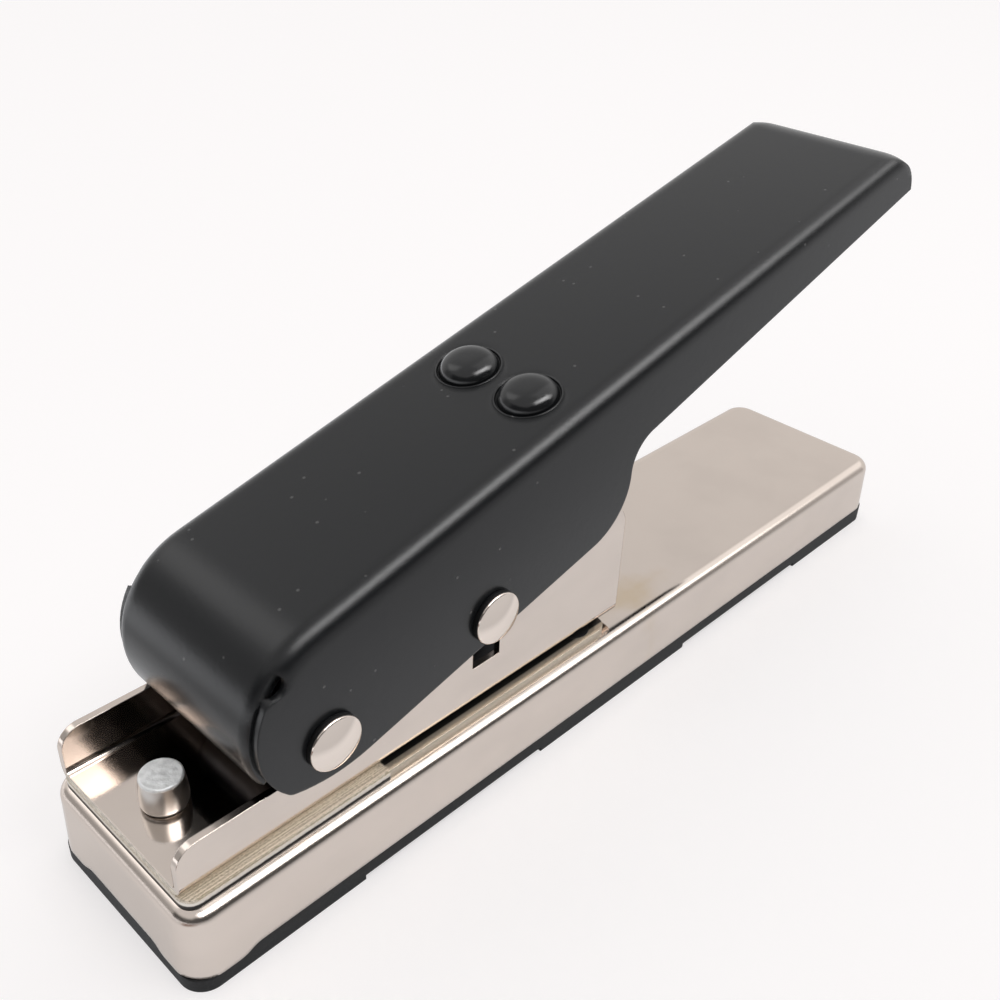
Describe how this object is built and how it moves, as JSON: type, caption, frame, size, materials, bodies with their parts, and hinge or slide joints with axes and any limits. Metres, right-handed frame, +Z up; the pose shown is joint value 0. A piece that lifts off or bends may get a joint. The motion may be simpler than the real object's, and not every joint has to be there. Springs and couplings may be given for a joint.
{
  "type": "guitar pick punch",
  "caption": "Hand lever punch on a hollow flat base: pressing the sprung lever drives a pick-shaped punch through a card in the slit, and the pick drops into the base.",
  "frame": {"origin": "on the table, under the middle of the base", "axes": "+X along the base from the tray end to the lever's raised tail end, +Z up"},
  "size_m": [0.1807, 0.0382, 0.0858],
  "materials": {
    "nickel_sheet": "bright nickel plating with a warm tint",
    "nickel_pins": "polished nickel plating",
    "black_coat": "satin black powder coat",
    "rubber": "matt black rubber",
    "die_steel": "sheared and lightly plated edge",
    "tool_steel": "ground steel",
    "spring_steel": "drawn wire",
    "rivet_zinc": "zinc plated, upset end rough"
  },
  "bodies": {
    "base": {"base_pan": "nickel_sheet", "rubber_sole": "rubber", "die_plate": "die_steel", "channel_frame": "nickel_sheet", "guide_plate": "tool_steel", "pivot_pin": "nickel_pins", "pivot_cap": "nickel_pins", "pivot_sleeve": "tool_steel", "return_spring_left": "spring_steel", "return_spring_right": "spring_steel", "spring_peg_left": "tool_steel", "spring_peg_right": "tool_steel", "tray_post": "rivet_zinc", "front_rivets": "rivet_zinc", "heel_rivets": "rivet_zinc", "die_rivets": "rivet_zinc"},
    "lever": {"lever": "black_coat", "drive_pin": "nickel_pins", "drive_cap": "nickel_pins", "stud_left": "black_coat", "stud_right": "black_coat"},
    "punch": {"punch": "tool_steel"}
  },
  "joints": [
    {"name": "lever_hinge", "type": "hinge", "parent": "base", "child": "lever", "pos_m": [-0.0635, 0, 0.0304], "axis": [0, 1, 0], "range_deg": [0, 13.5], "stiffness_Nm_per_rad": 6, "springref_deg": -5.73, "deforming": ["return_spring_left", "return_spring_right"]},
    {"name": "punch_slide", "type": "slide", "parent": "base", "child": "punch", "axis": [0, 0, -1], "range_m": [0, 0.00754]}
  ],
  "couplings": [
    {"joint": "punch_slide", "follows": "lever_hinge", "m_per_rad": 0.03198}
  ]
}
